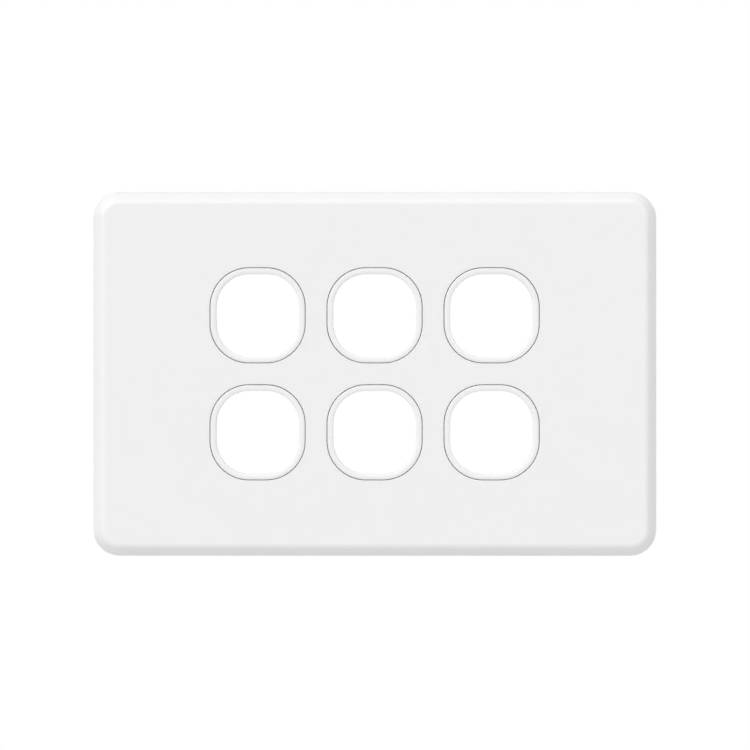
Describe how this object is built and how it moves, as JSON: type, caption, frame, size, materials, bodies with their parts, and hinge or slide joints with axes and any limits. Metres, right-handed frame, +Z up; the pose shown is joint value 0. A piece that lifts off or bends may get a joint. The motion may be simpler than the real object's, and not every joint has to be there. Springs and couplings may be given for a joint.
{
  "type": "grid switch plate",
  "caption": "Grid switch plate: a clip-on cover with a rounded shoulder over a moulded grid frame, whose rounded square collars hold switch mechanisms, with captive fixing screws.",
  "frame": {"origin": "middle of the plate on the wall plane, at the rear edge of the frame's rim", "axes": "+X to the right and +Z upwards as the fitted plate is looked at, +Y into the wall; the face is at Y -9 mm"},
  "size_m": [0.116, 0.0355, 0.075],
  "materials": {
    "cover": "white polycarbonate, fine satin-gloss moulded face",
    "frame": "white polycarbonate, moulded, with ejector marks on the hidden side",
    "screws": "bright zinc-plated steel",
    "washers": "natural nylon"
  },
  "bodies": {
    "root": {"cover_plate": "cover", "grid_frame": "frame", "mounting_screws": "screws", "retaining_washers": "washers"}
  },
  "joints": []
}
